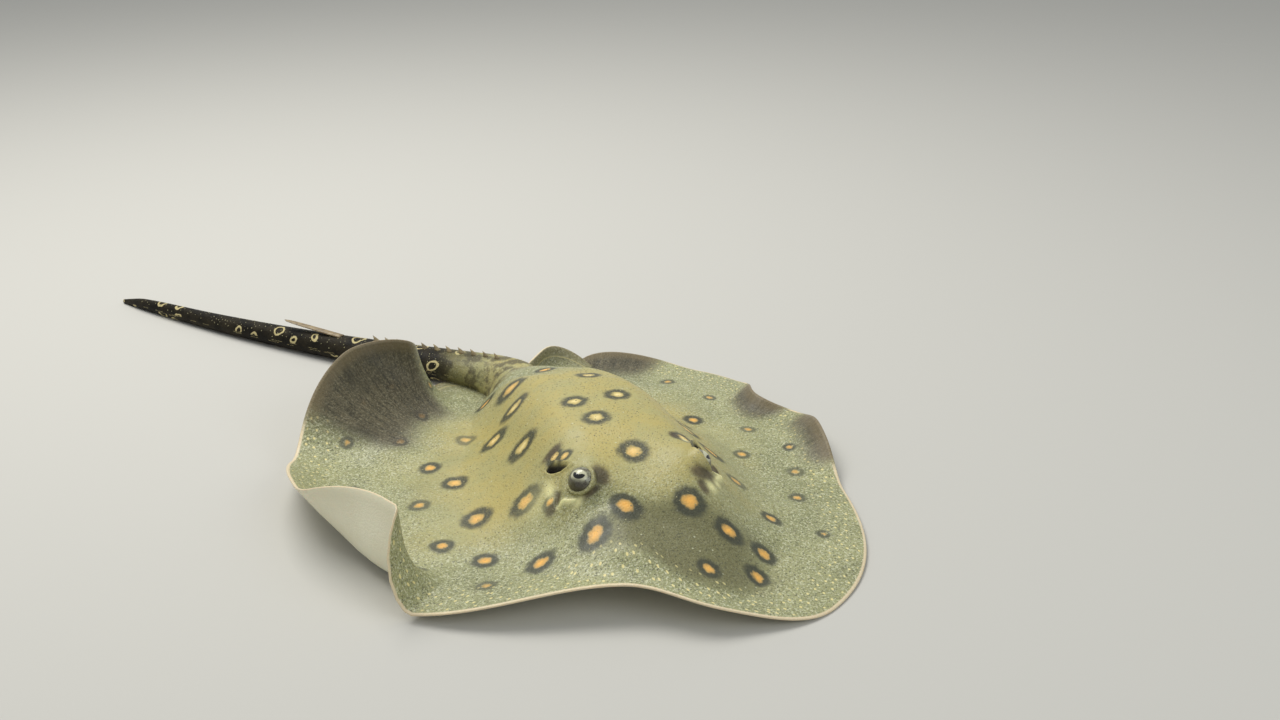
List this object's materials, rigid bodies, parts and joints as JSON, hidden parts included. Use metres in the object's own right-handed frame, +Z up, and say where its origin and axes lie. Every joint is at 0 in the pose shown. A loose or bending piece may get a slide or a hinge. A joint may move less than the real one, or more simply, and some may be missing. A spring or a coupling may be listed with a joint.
{
  "type": "freshwater stingray",
  "caption": "Still life-size model of a freshwater stingray resting on the bottom, disc edge rippled and one side curled up, tail laid out behind.",
  "frame": {"origin": "on the flat of the belly, under the middle of the disc, at the level the animal rests on", "axes": "+Z up away from the belly, -Y towards the snout, +X towards the animal's left"},
  "size_m": [0.4737, 0.6875, 0.0658],
  "materials": {
    "skin": "moist olive-brown skin with ringed golden spots above and cream below",
    "fin_skin": "thin moist brown fin skin with fine rays",
    "tail_skin": "moist near-black skin with broken cream rings",
    "sting": "pale bone-like dentine",
    "eye": "wet eyeball with a pale ring and a dark crescent pupil"
  },
  "bodies": {
    "root": {"head": "skin", "trunk": "skin", "left_wing_front": "skin", "left_wing_rear": "skin", "right_wing_front": "skin", "right_wing_rear": "skin", "left_pelvic_fin": "fin_skin", "right_pelvic_fin": "fin_skin", "tail_base": "tail_skin", "tail_middle": "tail_skin", "tail_tip": "tail_skin", "sting": "sting", "left_eye": "eye", "right_eye": "eye"}
  },
  "joints": []
}
